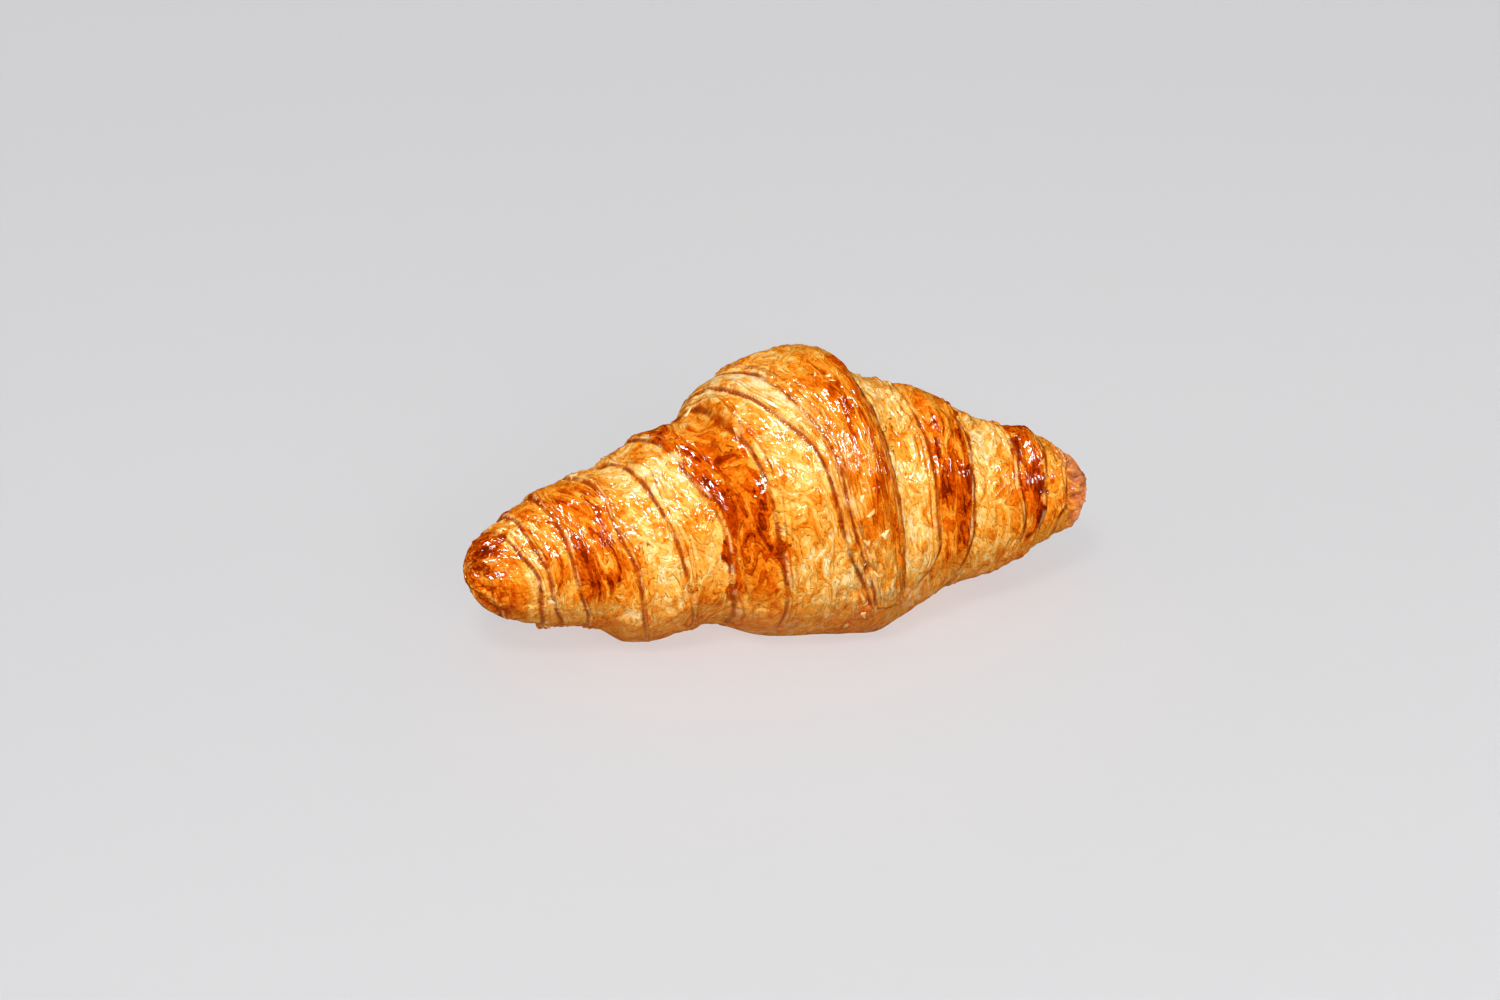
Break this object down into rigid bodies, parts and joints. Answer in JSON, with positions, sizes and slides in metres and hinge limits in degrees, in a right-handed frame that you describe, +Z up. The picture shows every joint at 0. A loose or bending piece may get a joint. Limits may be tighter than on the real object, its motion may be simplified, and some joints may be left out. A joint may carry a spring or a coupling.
{
  "type": "croissant",
  "caption": "Whole butter croissant, straight rolled crescent with layered, egg-washed crust, resting on its flat underside.",
  "frame": {"origin": "on the surface that the croissant rests on, below the middle of its outline", "axes": "+Z up, +X along the roll towards its narrower, more pointed tip, -Y the front, where the point of the rolled dough ends"},
  "size_m": [0.166, 0.0808, 0.0674],
  "materials": {
    "crust": "gloss"
  },
  "bodies": {
    "root": {"croissant": "crust"}
  },
  "joints": []
}
